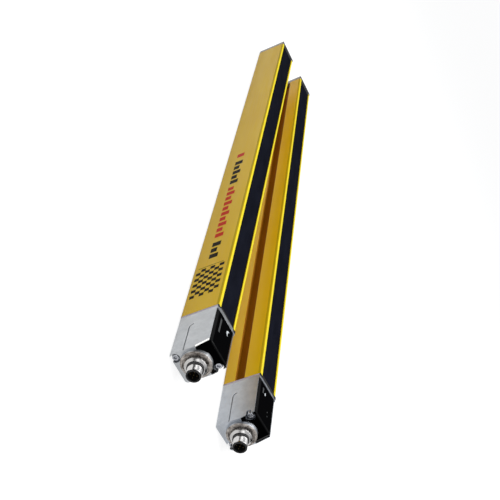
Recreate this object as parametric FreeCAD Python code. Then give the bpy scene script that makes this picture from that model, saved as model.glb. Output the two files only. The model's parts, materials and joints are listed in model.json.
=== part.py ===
import FreeCAD, Part
import math
import os
from FreeCAD import Placement, Rotation, Vector

# Safety light curtain: a receiver bar and a transmitter bar, both lying on their backs with the
# windows up. Millimetres. Each bar is modelled with x across it, y from its connector end to its
# far end and z from its back up to its window, with its T-slot on the +x side. The transmitter
# is the receiver's mirror image, apart from its connector and its status display.

# --- The extruded housing -------------------------------------------------------------------
bar_width = 29.0            # across the window
bar_depth = 35.4            # from the back to the lips beside the window
profile_length = 610.0      # the extrusion alone
wall = 2.0                  # side and back walls
back_radius = 2.5           # rounding of the two long back edges
front_radius = 0.8          # rounding of the two long front edges
lip_width = 3.5             # the yellow lip on each side of the window
lip_thickness = 1.4

slot_mouth = 8.0            # T-slot for sliding blocks
slot_inner = 12.4           # width of the slot behind its lips
slot_lip = 1.8              # thickness of the slot's lips
slot_depth = 6.2            # from the side face to the slot's floor
slot_drop = 19.2            # from the front face down to the slot's middle
slot_wall = 1.6             # metal around the slot
slot_bevel = 0.4            # bevel on the edges of the mouth

rail_reach = 1.8            # rail under the screen, from the side wall inwards
rail_height = 2.4
rail_edge = 0.6             # thickness of the rail's free edge
rib_height = 2.6            # ribs that locate the optics carrier
rib_width = 1.0

# --- Fits -----------------------------------------------------------------------------------
slide_gap = 0.2             # pieces that slide into the housing
seat_gap = 0.1              # lids and plates in their recesses
running_gap = 0.05          # screws in their channels, the connector in its bore

# --- The screen and its seal ----------------------------------------------------------------
screen_recess = 0.3         # the screen lies this far below the lips
screen_base = 1.6           # thickness of the flange under the lips
seal_thickness = 0.5
seal_width = 1.2
seal_inset = 0.3            # end gaskets keep clear of the screws by this much more

# --- Screws along two opposite corners ------------------------------------------------------
screw_radius = 1.5
screw_head_radius = 2.75
screw_head_height = 2.8
screw_bite = 9.0            # length of thread in the housing's channel
channel_wall = 0.75         # metal around a channel in the housing
cap_channel_wall = 1.05     # metal around a screw in the casting
front_screw_side = 3.4      # from the slot side face
front_screw_drop = 6.0      # from the front face
back_screw_side = 5.0       # from the smooth side face
back_screw_rise = 3.2       # from the back
pocket_radius = 4.0         # pocket round a screw head at the connector end
pocket_depth = 3.6          # of the back screw, from the end face
front_pocket_depth = 6.2    # of the front screw, whose end face leans back
pocket_floor = 2.0

# --- The connection cap ---------------------------------------------------------------------
cap_length = 47.4
cap_gasket_thickness = 2.0
cap_wall = 2.2
cap_end_wall = 3.6
cap_roof_drop = 2.9         # from the front face to the ledge that carries the cover
cap_roof = 1.8              # thickness of that ledge
cap_lip = 0.5               # thin side lip beside the cover
cap_lip_drop = 1.2          # from the front face to the top of that lip
crossbar_length = 3.3       # bright bar between the cover and the screen
tongue_length = 3.0         # the bar's tongue between the housing's lips
tongue_thickness = 2.0
tongue_drop = 0.2
panel_line_width = 1.0      # J-shaped groove on both side faces
panel_line_depth = 0.6
panel_line_rise = 12.1      # from the back
panel_line_length = 29.0
panel_line_bend = 3.0

# --- The black front cover of the cap -------------------------------------------------------
cover_thickness = 2.4
cover_bevel_side = 2.5      # the bevel as seen from the front
cover_bevel_drop = 1.3      # and its fall
cover_overhang = 0.8        # past the casting's end face
cover_skirt = 13.0          # how far it turns down over the end face
cover_lean = 3.6            # how far the end leans back over the height of the skirt
cover_skirt_depth = 1.6     # recess for the turned-down part
cover_edge_radius = 1.0
cover_seal_width = 1.8

# --- Connector ------------------------------------------------------------------------------
connector_drop = 18.7       # from the front face to the connector's axis
boss_radius = 12.5
boss_height = 3.4
boss_rim = 1.9
boss_groove = 1.3
boss_bevel = 0.7
hub_radius = 8.9
hub_height = 7.6
hub_round = 1.6
sleeve_radius = 6.0
sleeve_bore = 5.0
sleeve_reach = 17.0         # past the casting's end face
sleeve_neck = 5.6           # radius where it passes through the hub
sleeve_tail = 7.0           # behind the end face
nut_flats = 14.0
nut_height = 2.5
sleeve_bevel = 0.5
socket_depth = 8.5
oring_radius = 0.65         # half its cord's length along the connector
oring_width = 1.7
oring_sides = 24
contact_radius = 0.5
contact_inset = 1.5         # from the sleeve's mouth to the contacts' tips
contact_circle = 2.75
insert_tail = 9.0           # behind the end face
outer_contacts = 4          # round the circle, with one more in the middle
key_width = 1.0
key_height = 0.7

# --- Far end --------------------------------------------------------------------------------
end_gasket_thickness = 0.8
end_cap_length = 5.8
end_pocket_radius = 3.0
end_pocket_depth = 3.1
end_screw_bite = 9.0
end_cover_thickness = 2.0
end_cover_margin = 1.4      # casting left beyond the cover
end_tongue = 4.6            # the cover's tongue between the housing's lips
end_tongue_thickness = 2.6

# --- Optics ---------------------------------------------------------------------------------
beam_pitch = 30.0
first_beam = 20.0           # from the start of the housing
last_beam_margin = 20.0     # at least this far from the end of the housing
carrier_gap = 0.4           # between the carrier and the slot's metal
carrier_wall = 1.2
carrier_start = 7.6         # from the start of the housing
carrier_end_gap = 3.9       # from the end of the housing
carrier_rail_gap = 0.5      # between the carrier's top and the rails under the screen
lens_window = 3.2           # half the side of each square window
lens_reach = 3.6            # half the side of each lens
lens_height = 1.2
lens_sides = 6              # flat facets that each lens is drawn with
lens_plate = 1.2
lens_seat_depth = 1.4       # from the carrier's top edge to the lens plate
slit_half = 1.5
diode_side = 2.0
diode_height = 1.3
board_thickness = 1.6
board_rise = 3.3            # board underside above the back wall
board_ledge = 0.8
board_start = 1.0           # from the start of the housing
board_gap = 1.0             # between the two boards

# --- Electronics in the cap -----------------------------------------------------------------
control_board_drop = 15.5   # from the front face to its underside
control_board_start = 10.4
control_board_end_gap = 1.4 # short of the end of the casting
control_board_side_gap = 1.0
board_rest_reach = 2.3
board_rest_height = 1.2
contact_board_thickness = 1.4
contact_board_half = 8.5
contact_board_height = 16.0
near_chips = ((-9.0, 7.0, 6.5, 1.4), (1.0, 7.0, 5.0, 1.8))  # left, width, length, height
near_chip_gap = 2.6         # from the board's start
link_header = (8.0, 3.2, 2.4)
link_header_gap = 0.6       # from the board's end
solder_sink = 0.2           # parts reach this far into the board
display_size = (9.5, 15.0, 10.0)
display_start = 21.0
display_shift = 2.7         # middle of the display, towards the right-hand side
guide_width = 2.0
guide_shift = -6.5          # middle of the light guide, towards the left-hand side
guide_end_gap = 5.0         # from the end of the cover
receiver_guide_length = 17.0
transmitter_guide_length = 6.0
lamp_size = (1.6, 1.2, 1.2)
lamp_pitch = 4.4
lamp_margin = 1.2           # from the light guide's start to the first lamp
link_width = 8.0
link_thickness = 0.25
link_bend = 3.0
link_foot = 3.0
link_gap = 0.4              # between the lead and the first optics board's end
spring_width = 4.0
spring_thickness = 0.4
spring_start = 28.0
spring_foot = 8.0
spring_bow = 4.0

# --- How the two bars lie -------------------------------------------------------------------
pair_pitch = 76.2           # between the bars' left-hand corners at the connector ends
pair_stagger = 2.8
pair_yaw = 2.0              # degrees: the bars draw together towards the far end

# --- Worked out from the above --------------------------------------------------------------
half = bar_width / 2
profile_start = cap_length + cap_gasket_thickness
profile_end = profile_start + profile_length
end_cap_start = profile_end + end_gasket_thickness
bar_length = end_cap_start + end_cap_length
lip_under = bar_depth - lip_thickness
cavity_half = half - wall
window_half = half - lip_width
slot_z = bar_depth - slot_drop
slot_back = half - slot_depth - slot_wall
seal_bottom = lip_under - seat_gap - screen_base - seal_thickness
screw_places = ((half - front_screw_side, bar_depth - front_screw_drop),
                (back_screw_side - half, back_screw_rise))
screw_seats = (front_pocket_depth, pocket_depth)
skirt_foot = bar_depth - cover_skirt
cap_roof_top = bar_depth - cap_roof_drop
cap_cavity_top = cap_roof_top - cap_roof
cover_under = bar_depth - cover_thickness
cover_half = half - cap_lip - seat_gap
cover_end = cap_length - crossbar_length - seat_gap
connector_z = bar_depth - connector_drop
carrier_half = slot_back - carrier_gap
board_half = carrier_half - carrier_wall - slide_gap
board_bottom = wall + board_rise
board_top = board_bottom + board_thickness
beam_count = int((profile_length - first_beam - last_beam_margin) // beam_pitch) + 1
carrier_top = seal_bottom - rail_height - carrier_rail_gap
lens_seat = carrier_top - lens_seat_depth
control_board_end = cap_length - control_board_end_gap
control_board_bottom = bar_depth - control_board_drop
control_board_top = control_board_bottom + board_thickness
guide_end = cover_end - guide_end_gap
screen_start = profile_start + tongue_length - cap_gasket_thickness + slide_gap
screen_end = profile_end - end_tongue - slide_gap


def block(x0, x1, y0, y1, z0, z1):
    return Part.makeBox(x1 - x0, y1 - y0, z1 - z0, Vector(x0, y0, z0))


def rod(x, z, radius, y0, y1):
    """Round bar along the housing."""
    return Part.makeCylinder(radius, y1 - y0, Vector(x, y0, z), Vector(0, 1, 0))


def slim_rod(x, z, radius, y0, y1, sides=12):
    """Many-sided bar along the housing, for small pieces that repeat."""
    step = 2 * math.pi / sides
    corners = [Vector(x + radius * math.cos(step * k), y0, z + radius * math.sin(step * k))
               for k in range(sides)]
    face = Part.Face(Part.makePolygon(corners + corners[:1]))
    return face.extrude(Vector(0, y1 - y0, 0))


def extrude(points, y0, y1):
    """Prism along the housing from (x, z) points."""
    corners = [Vector(x, y0, z) for x, z in points]
    face = Part.Face(Part.makePolygon(corners + corners[:1]))
    return face.extrude(Vector(0, y1 - y0, 0))


def cross_prism(points, x0, x1):
    """Prism across the housing from (y, z) points."""
    corners = [Vector(x0, y, z) for y, z in points]
    face = Part.Face(Part.makePolygon(corners + corners[:1]))
    return face.extrude(Vector(x1 - x0, 0, 0))


def housing_block(y0, y1, inset=0.0):
    """Full outer section of the bar: larger roundings at the back, small ones at the front."""
    side, low, high = half - inset, inset, bar_depth - inset
    back, front = back_radius - inset, max(front_radius - inset, 0.2)
    turns = ((side, low, -1, 1, back), (side, high, -1, -1, front),
             (-side, high, 1, -1, front), (-side, low, 1, 1, back))
    sine = math.sin(math.pi / 4)
    ends = []
    arcs = []
    for index, (x, z, sx, sz, radius) in enumerate(turns):
        centre = Vector(x + sx * radius, y0, z + sz * radius)
        beside = Vector(x + sx * radius, y0, z)
        above = Vector(x, y0, z + sz * radius)
        middle = centre + Vector(-sx * sine * radius, 0, -sz * sine * radius)
        first, last = (beside, above) if index % 2 == 0 else (above, beside)
        arcs.append(Part.Arc(first, middle, last).toShape())
        ends.append((first, last))
    edges = []
    for index, arc in enumerate(arcs):
        edges.append(arc)
        following = ends[(index + 1) % len(ends)][0]
        edges.append(Part.LineSegment(ends[index][1], following).toShape())
    face = Part.Face(Part.Wire(edges))
    return face.extrude(Vector(0, y1 - y0, 0))


def revolve_on_connector(points):
    """Ring or disc round the connector's axis from (radius, y) points."""
    corners = [Vector(radius, y, 0) for radius, y in points]
    face = Part.Face(Part.makePolygon(corners + corners[:1]))
    solid = face.revolve(Vector(0, 0, 0), Vector(0, 1, 0), 360)
    solid.translate(Vector(0, 0, connector_z))
    return solid


def slot_void(y0, y1):
    """The T-slot with its bevelled mouth."""
    mouth, inner = slot_mouth / 2, slot_inner / 2
    floor, neck = half - slot_depth, half - slot_lip
    upper = [(floor, inner), (neck, inner), (neck, mouth), (half - slot_bevel, mouth),
             (half, mouth + slot_bevel), (half + 1, mouth + slot_bevel)]
    lower = [(x, -z) for x, z in reversed(upper)]
    return extrude([(x, slot_z + z) for x, z in upper + lower], y0, y1)


# --- Housing --------------------------------------------------------------------------------
def housing_profile():
    y0, y1 = profile_start, profile_end
    body = housing_block(y0, y1)
    body = body.cut(block(-cavity_half, cavity_half, y0, y1, wall, lip_under))
    body = body.cut(block(-window_half, window_half, y0, y1, lip_under - 1, bar_depth + 1))

    slot_metal = slot_inner / 2 + slot_wall
    metal = [block(slot_back, half - 0.5 * wall, y0, y1, slot_z - slot_metal, slot_z + slot_metal)]
    for side in (-1, 1):
        edge = cavity_half - rail_reach
        metal.append(extrude([(side * (cavity_half + 0.5 * wall), seal_bottom),
                              (side * edge, seal_bottom),
                              (side * edge, seal_bottom - rail_edge),
                              (side * cavity_half, seal_bottom - rail_height),
                              (side * (cavity_half + 0.5 * wall), seal_bottom - rail_height)],
                             y0, y1))
        inner = carrier_half + slide_gap
        foot = sorted((side * inner, side * (inner + rib_width)))
        metal.append(block(foot[0], foot[1], y0, y1, 0.5 * wall, wall + rib_height))
    channel = screw_radius + running_gap
    for x, z in screw_places:
        metal.append(rod(x, z, channel + channel_wall, y0, y1))
    body = body.fuse(metal)

    voids = [slot_void(y0, y1)]
    for x, z in screw_places:
        voids.append(slim_rod(x, z, channel, y0, y1))
    body = body.common(housing_block(y0, y1))
    return body.cut(voids).removeSplitter()


def front_screen():
    """Window strip: a flange under the lips and a raised middle between them."""
    base_top = lip_under - seat_gap
    base = block(-cavity_half + slide_gap, cavity_half - slide_gap, screen_start, screen_end,
                 base_top - screen_base, base_top)
    middle = block(-window_half + slide_gap, window_half - slide_gap, screen_start, screen_end,
                   base_top - 0.5 * screen_base, bar_depth - screen_recess)
    return base.fuse(middle).removeSplitter()


def screen_seal():
    outer = cavity_half - 2 * slide_gap
    y0, y1 = screen_start + slide_gap, screen_end - slide_gap
    top = seal_bottom + seal_thickness
    ring = block(-outer, outer, y0, y1, seal_bottom, top)
    return ring.cut(block(-outer + seal_width, outer - seal_width,
                          y0 + seal_width, y1 - seal_width, seal_bottom, top))


# --- Connection cap -------------------------------------------------------------------------
def panel_line(side):
    """J-shaped groove in a side face: along the cap, then a turn towards the front."""
    x0, x1 = sorted((side * (half - panel_line_depth), side * (half + 1)))
    z, width, bend = panel_line_rise, panel_line_width, panel_line_bend
    straight = block(x0, x1, -1, panel_line_length, z, z + width)
    ring = Part.makeCylinder(bend + width, x1 - x0,
                             Vector(x0, panel_line_length, z + width + bend), Vector(1, 0, 0))
    ring = ring.cut(Part.makeCylinder(bend, x1 - x0,
                                      Vector(x0, panel_line_length, z + width + bend),
                                      Vector(1, 0, 0)))
    quarter = block(x0, x1, panel_line_length, panel_line_length + bend + width,
                    z, z + bend + width)
    return straight.fuse(ring.common(quarter))


def leaning_end(offset, low, reach, high):
    """(y, z) outline in front of the leaning end, moved along the bar by offset.

    It stands upright below the skirt's foot and leans back above it, from low to high."""
    lean = cover_lean * (high - skirt_foot) / cover_skirt
    return [(-reach, low), (offset, low), (offset, skirt_foot), (offset + lean, high),
            (-reach, high)]


def connector_boss():
    """Round foot with a raised rim, and the hub that the connector stands in."""
    rim_in = boss_radius - boss_rim
    foot = boss_height - boss_groove
    root = cap_end_wall
    return revolve_on_connector([
        (0, root), (boss_radius, root),
        (boss_radius, -boss_height + boss_bevel), (boss_radius - boss_bevel, -boss_height),
        (rim_in, -boss_height), (rim_in, -foot), (hub_radius, -foot),
        (hub_radius, -hub_height + hub_round), (hub_radius - hub_round, -hub_height),
        (0, -hub_height)])


def connection_cap():
    body = housing_block(0, cap_length)
    body = body.cut(cross_prism(leaning_end(0, skirt_foot, 1, bar_depth + 1), -half, half))
    cavity = half - cap_wall
    nut_top = connector_z + nut_flats / 2 + seat_gap
    body = body.cut(cross_prism([
        (cap_end_wall, cap_wall), (cap_end_wall, nut_top),
        (cap_end_wall + cover_lean, cap_cavity_top), (cap_length, cap_cavity_top),
        (cap_length, cap_wall)], -cavity, cavity))
    # Seat of the front cover, its end recess and the opening under it.
    seat_end = cover_end + seat_gap
    body = body.cut(block(-cover_half - seat_gap, cover_half + seat_gap, -1, seat_end,
                          cap_roof_top, bar_depth + 1))
    body = body.cut(block(-half - 1, half + 1, -1, seat_end,
                          bar_depth - cap_lip_drop, bar_depth + 1))
    recess = cross_prism(leaning_end(cover_skirt_depth, skirt_foot - seat_gap, 1, bar_depth + 1),
                         -cover_half - seat_gap, cover_half + seat_gap)
    body = body.cut(recess)
    opening = cavity - 1.3
    body = body.cut(block(-opening, opening, cap_end_wall + cover_lean + 1.4,
                          seat_end - cover_seal_width, cap_cavity_top - 1, cap_roof_top + 1))

    metal = [connector_boss()]
    metal.append(block(-window_half + slide_gap, window_half - slide_gap,
                       cap_length - 1, profile_start + tongue_length - cap_gasket_thickness,
                       bar_depth - tongue_drop - tongue_thickness, bar_depth - tongue_drop))
    for (x, z), seat in zip(screw_places, screw_seats):
        post = screw_radius + 3 * running_gap + cap_channel_wall
        floor = pocket_radius + 0.8
        posts = block(x - post, x + post, cap_end_wall - 0.5, cap_length, z - post, z + post)
        posts = posts.fuse(block(x - floor, x + floor, cap_end_wall - 0.6,
                                 seat + pocket_floor, z - floor, z + floor))
        below_ledge = block(-half, half, 0, cap_length, 0, cap_roof_top)
        metal.append(posts.common(housing_block(0, cap_length)).common(below_ledge).cut(recess))
    for side in (-1, 1):
        x0, x1 = sorted((side * (cavity + 0.5), side * (cavity - board_rest_reach)))
        metal.append(block(x0, x1, control_board_start + 2, control_board_end - 2,
                           control_board_bottom - board_rest_height, control_board_bottom))
    body = body.fuse(metal)

    voids = [rod(0, connector_z, sleeve_neck + running_gap, -hub_height - 1, cap_end_wall + 1)]
    for (x, z), seat in zip(screw_places, screw_seats):
        voids.append(slim_rod(x, z, screw_radius + 3 * running_gap, 0, cap_length + 1))
        voids.append(rod(x, z, pocket_radius, -boss_height, seat))
    for side in (-1, 1):
        voids.append(panel_line(side))
    return body.cut(voids).removeSplitter()


def end_ring(y0, y1, tongue_thick):
    """Flat gasket between the housing and a cap, cut away under the tongue."""
    ring = housing_block(y0, y1, slide_gap)
    low = back_screw_rise - screw_radius - running_gap
    ring = ring.cut(block(-cavity_half - seal_inset, cavity_half + seal_inset, y0, y1,
                          low, lip_under + slide_gap))
    return ring.cut(block(-window_half, window_half, y0, y1,
                          bar_depth - tongue_drop - tongue_thick - seat_gap, bar_depth + 1))


def cap_gasket():
    return end_ring(cap_length, profile_start, tongue_thickness)


def guide_range(guide_length):
    return guide_end - guide_length, guide_end


def front_cover(guide_x, guide_length):
    """Glossy lid with a bevel all round, turned down over the end face round the boss."""
    y0, y1 = -cover_overhang, cover_end
    foot = skirt_foot
    flat = cover_half - cover_bevel_side
    bevel_foot = bar_depth - cover_bevel_drop
    from_end = extrude([(-cover_half, foot), (cover_half, foot), (cover_half, bevel_foot),
                        (flat, bar_depth), (-flat, bar_depth), (-cover_half, bevel_foot)], y0, y1)
    plan = [(-flat, y0), (flat, y0), (cover_half, y0 + cover_bevel_drop), (cover_half, y1),
            (-cover_half, y1), (-cover_half, y0 + cover_bevel_drop)]
    corners = [Vector(x, y, foot) for x, y in plan]
    leaning = Part.Face(Part.makePolygon(corners + corners[:1])).extrude(
        Vector(0, cover_lean, cover_skirt))
    shell = from_end.common(leaning)
    edge = cover_edge_radius
    slope = cover_lean / cover_skirt
    top_start = y0 + cover_lean
    shell = shell.common(cross_prism([(y0 - 1, foot - 1), (y1, foot - 1), (y1, bar_depth),
                                      (top_start + edge, bar_depth),
                                      (top_start + 0.3 * edge, bar_depth - 0.3 * edge),
                                      (top_start - slope * edge, bar_depth - edge),
                                      (y0 - 1, bar_depth - edge)], -half, half))
    inside = cover_skirt_depth - seat_gap
    shell = shell.cut(cross_prism([(inside, foot - 1), (inside, foot),
                                   (inside + slope * (cover_under - foot), cover_under),
                                   (y1 + 1, cover_under), (y1 + 1, foot - 1)], -half, half))
    shell = shell.cut(rod(0, connector_z, boss_radius + 2 * seat_gap, y0 - 1, y1))
    x, z = screw_places[0]
    shell = shell.cut(rod(x, z, pocket_radius, y0 - 1, cover_skirt_depth + cover_lean))
    start, end = guide_range(guide_length)
    reach = guide_width / 2 + seat_gap
    return shell.cut(block(guide_x - reach, guide_x + reach, start - seat_gap, end + seat_gap,
                           cover_under - 1, bar_depth + 1))


def cover_seal():
    """Thin frame between the cap's ledge and the cover."""
    cavity = half - cap_wall
    y0, y1 = cover_skirt_depth + cover_lean + 0.5, cover_end - 0.3
    outer = cover_half - 0.3
    ring = block(-outer, outer, y0, y1, cap_roof_top, cover_under)
    inner = outer - cover_seal_width
    ring = ring.cut(block(-min(inner, cavity), min(inner, cavity),
                          y0 + cover_seal_width, y1 - cover_seal_width,
                          cap_roof_top, cover_under))
    x, z = screw_places[0]
    return ring.cut(rod(x, z, pocket_radius + seat_gap, 0, front_pocket_depth))


def light_guide(guide_x, guide_length):
    start, end = guide_range(guide_length)
    reach = guide_width / 2
    return block(guide_x - reach, guide_x + reach, start, end,
                 control_board_top + lamp_size[2], bar_depth)


# --- Connector ------------------------------------------------------------------------------
def connector_sleeve():
    """Threaded M12 sleeve with a slimmer neck that passes through the hub."""
    mouth = -sleeve_reach
    shoulder = -hub_height - 2 * oring_radius
    return revolve_on_connector([
        (sleeve_bore, mouth), (sleeve_radius - sleeve_bevel, mouth),
        (sleeve_radius, mouth + sleeve_bevel), (sleeve_radius, shoulder),
        (sleeve_neck, shoulder), (sleeve_neck, sleeve_tail), (sleeve_bore, sleeve_tail)])


def connector_oring():
    """Seal round the sleeve's neck against the hub, drawn as a many-sided flat ring."""
    near, far = -hub_height, -hub_height - 2 * oring_radius
    corner = sleeve_neck / math.cos(math.pi / oring_sides)
    ring = slim_rod(0, connector_z, sleeve_neck + oring_width, far, near, oring_sides)
    return ring.cut(slim_rod(0, connector_z, corner, far - 1, near + 1, oring_sides))


def connector_nut():
    """Hexagon nut that holds the sleeve from inside the cap."""
    corner = nut_flats / math.sqrt(3)
    hexagon = slim_rod(0, connector_z, corner, cap_end_wall, cap_end_wall + nut_height, 6)
    return hexagon.cut(rod(0, connector_z, sleeve_neck + running_gap,
                           cap_end_wall - 1, cap_end_wall + nut_height + 1))


def contact_places():
    places = [(0, connector_z)]
    for index in range(outer_contacts):
        angle = 2 * math.pi * (index + 0.5) / outer_contacts
        places.append((contact_circle * math.sin(angle),
                       connector_z - contact_circle * math.cos(angle)))
    return places


def connector_insert():
    floor = socket_depth - sleeve_reach
    radius = sleeve_bore - running_gap
    body = rod(0, connector_z, radius, floor, insert_tail)
    key = block(-key_width / 2, key_width / 2, floor - 0.5 * socket_depth, floor + 1,
                connector_z + radius - key_height, connector_z + radius - 0.1)
    return body.fuse(key).removeSplitter()


def contact_pins():
    """Contacts, drawn as far as the insert that they are moulded into."""
    tip, floor = contact_inset - sleeve_reach, socket_depth - sleeve_reach
    return Part.makeCompound([slim_rod(x, z, contact_radius, tip, floor)
                              for x, z in contact_places()])


# --- Screws ---------------------------------------------------------------------------------
def cap_screw(x, z, head_face, inward, length):
    """Cylinder head screw along the bar; inward is +1 or -1, from the head to the tip."""
    under = head_face + inward * screw_head_height
    head = rod(x, z, screw_head_radius, min(head_face, under), max(head_face, under))
    tip = under + inward * length
    shank = slim_rod(x, z, screw_radius, min(under, tip), max(under, tip))
    return head.fuse(shank).removeSplitter()


def connection_cap_screws():
    tip = profile_start + screw_bite
    return Part.makeCompound([cap_screw(x, z, seat - screw_head_height, 1, tip - seat)
                              for (x, z), seat in zip(screw_places, screw_seats)])


def end_cap_screws():
    seat = bar_length - end_pocket_depth
    length = seat - profile_end + end_screw_bite
    return Part.makeCompound([cap_screw(x, z, seat + screw_head_height, -1, length)
                              for x, z in screw_places])


# --- Far end --------------------------------------------------------------------------------
def end_cap():
    body = housing_block(end_cap_start, bar_length)
    cover = end_cover_half()
    body = body.cut(block(-cover - seat_gap, cover + seat_gap, end_cap_start - 1,
                          bar_length - end_cover_margin + seat_gap,
                          bar_depth - end_cover_thickness, bar_depth + 1))
    hole = screw_radius + 3 * running_gap
    voids = [slim_rod(x, z, hole, end_cap_start - 1, bar_length + 1) for x, z in screw_places]
    voids += [rod(x, z, end_pocket_radius, bar_length - end_pocket_depth, bar_length + 1)
              for x, z in screw_places]
    return body.cut(voids).removeSplitter()


def end_cap_gasket():
    return end_ring(profile_end, end_cap_start, end_tongue_thickness)


def end_cover_half():
    return window_half - slide_gap


def end_cover():
    """Black strip that carries the window's line to the end of the bar."""
    cover = end_cover_half()
    plate = block(-cover, cover, profile_end, bar_length - end_cover_margin,
                  bar_depth - end_cover_thickness, bar_depth)
    tongue = block(-cover, cover, profile_end - end_tongue, end_cap_start,
                   bar_depth - tongue_drop - end_tongue_thickness, bar_depth - tongue_drop)
    return plate.fuse(tongue).removeSplitter()


# --- Optics ---------------------------------------------------------------------------------
def beam_places():
    return [profile_start + first_beam + index * beam_pitch for index in range(beam_count)]


def optics_carrier():
    """Black rail with a window for each lens above a slit for the boards' diodes."""
    y0, y1 = profile_start + carrier_start, profile_end - carrier_end_gap
    top = carrier_top
    inside = carrier_half - carrier_wall
    slit_bottom = board_top + slide_gap
    body = block(-carrier_half, carrier_half, y0, y1, wall, top)
    body = body.cut([
        block(-inside, inside, y0, y1, lens_seat, top + 1),
        block(-inside, inside, y0, y1, slit_bottom + carrier_wall, lens_seat - carrier_wall),
        block(-slit_half, slit_half, y0, y1, slit_bottom - 1, slit_bottom + carrier_wall + 1),
        block(-inside, inside, y0, y1, board_bottom, slit_bottom),
        block(-inside + board_ledge, inside - board_ledge, y0, y1, 0, board_bottom + 1)])
    windows = [block(-lens_window, lens_window, y - lens_window, y + lens_window,
                     lens_seat - carrier_wall - 1, lens_seat + 1) for y in beam_places()]
    return body.cut(windows).removeSplitter()


def lens_strip():
    """Clear strip with a curved lens above each window of the carrier."""
    y0 = profile_start + carrier_start + 1
    y1 = profile_end - carrier_end_gap - 1
    top = lens_seat + lens_plate
    strip = block(-board_half, board_half, y0, y1, lens_seat, top)
    lenses = []
    for y in beam_places():
        turns = [math.pi * step / lens_sides for step in range(lens_sides + 1)]
        outline = [(y - lens_reach * math.cos(turn), top + lens_height * math.sin(turn))
                   for turn in turns]
        lenses.append(cross_prism(outline, -lens_reach, lens_reach))
    return strip.fuse(lenses)


def optics_board(number):
    """One of the two long circuit boards; number is 1 or 2."""
    y0, y1 = profile_start + board_start, profile_end - carrier_end_gap
    middle = (y0 + y1) / 2
    if number == 1:
        y1 = middle - board_gap / 2
    else:
        y0 = middle + board_gap / 2
    return block(-board_half, board_half, y0, y1, board_bottom, board_top)


def beam_elements():
    """Photodiodes or emitter diodes, one small block for each beam."""
    reach = diode_side / 2
    return Part.makeCompound([block(-reach, reach, y - reach, y + reach,
                                    board_top, board_top + diode_height)
                              for y in beam_places()])


# --- Electronics in the cap -----------------------------------------------------------------
def control_board(guide_x, guide_length):
    reach = half - cap_wall - control_board_side_gap
    board = block(-reach, reach, control_board_start, control_board_end,
                  control_board_bottom, control_board_top)
    foot = control_board_top - solder_sink
    wide, long, high = link_header
    header_end = control_board_end - link_header_gap
    parts = [block(-wide / 2, wide / 2, header_end - long, header_end,
                   foot, control_board_top + high)]
    chip_start = control_board_start + near_chip_gap
    for left, wide, long, high in near_chips:
        parts.append(block(left, left + wide, chip_start, chip_start + long,
                           foot, control_board_top + high))
    wide, long, high = lamp_size
    start, end = guide_range(guide_length)
    lamps = int(guide_length // lamp_pitch) + 1
    for index in range(lamps):
        y = start + lamp_margin + index * lamp_pitch
        parts.append(block(guide_x - wide / 2, guide_x + wide / 2, y - long / 2, y + long / 2,
                           foot, control_board_top + high))
    return board.fuse(parts).removeSplitter()


def contact_board():
    """Small upright board behind the connector, soldered to the control board's edge."""
    middle = connector_z
    return block(-contact_board_half, contact_board_half,
                 control_board_start - contact_board_thickness, control_board_start,
                 middle - contact_board_height / 2, middle + contact_board_height / 2)


def status_display(display_x):
    wide, long, high = display_size
    return block(display_x - wide / 2, display_x + wide / 2,
                 display_start, display_start + long, control_board_top,
                 control_board_top + high)


def board_link():
    """Flat flexible lead from the control board down to the first optics board."""
    high = control_board_bottom
    low = board_top + link_thickness
    near = profile_start + board_start - link_gap
    bend = link_bend
    sine = bend * math.sin(math.pi / 4)
    start = Vector(0, control_board_end - link_foot, high)
    turn_in = Vector(0, near - bend, high)
    turn_mid = Vector(0, near - bend + sine, high - bend + sine)
    turn_out = Vector(0, near, high - bend)
    foot_in = Vector(0, near, low + bend)
    foot_mid = Vector(0, near + bend - sine, low + bend - sine)
    foot_out = Vector(0, near + bend, low)
    finish = Vector(0, near + bend + link_foot, low)
    path = Part.Wire([Part.LineSegment(start, turn_in).toShape(),
                      Part.Arc(turn_in, turn_mid, turn_out).toShape(),
                      Part.LineSegment(turn_out, foot_in).toShape(),
                      Part.Arc(foot_in, foot_mid, foot_out).toShape(),
                      Part.LineSegment(foot_out, finish).toShape()])
    strip = path.makeOffset2D(-link_thickness, 0, True, True, False)
    if strip.BoundBox.ZMax > high + 0.01:
        strip = path.makeOffset2D(link_thickness, 0, True, True, False)
    solid = strip.extrude(Vector(link_width, 0, 0))
    solid.translate(Vector(-link_width / 2, 0, 0))
    return solid


def earth_spring():
    """Bowed leaf that earths the control board on the casting's floor."""
    low, high = cap_wall, control_board_bottom
    y0, y1 = spring_start, spring_start + spring_foot
    middle = (low + high) / 2
    thick = spring_thickness
    return cross_prism([(y0, low), (y1, low), (y1 + spring_bow, middle), (y1, high), (y0, high),
                        (y0, high - thick), (y1 - 0.6 * thick, high - thick),
                        (y1 + spring_bow - 1.2 * thick, middle),
                        (y1 - 0.6 * thick, low + thick), (y0, low + thick)],
                       -spring_width / 2, spring_width / 2)


# --- The two bars ---------------------------------------------------------------------------
def mirrored(shape):
    return shape.mirror(Vector(0, 0, 0), Vector(1, 0, 0))


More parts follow.
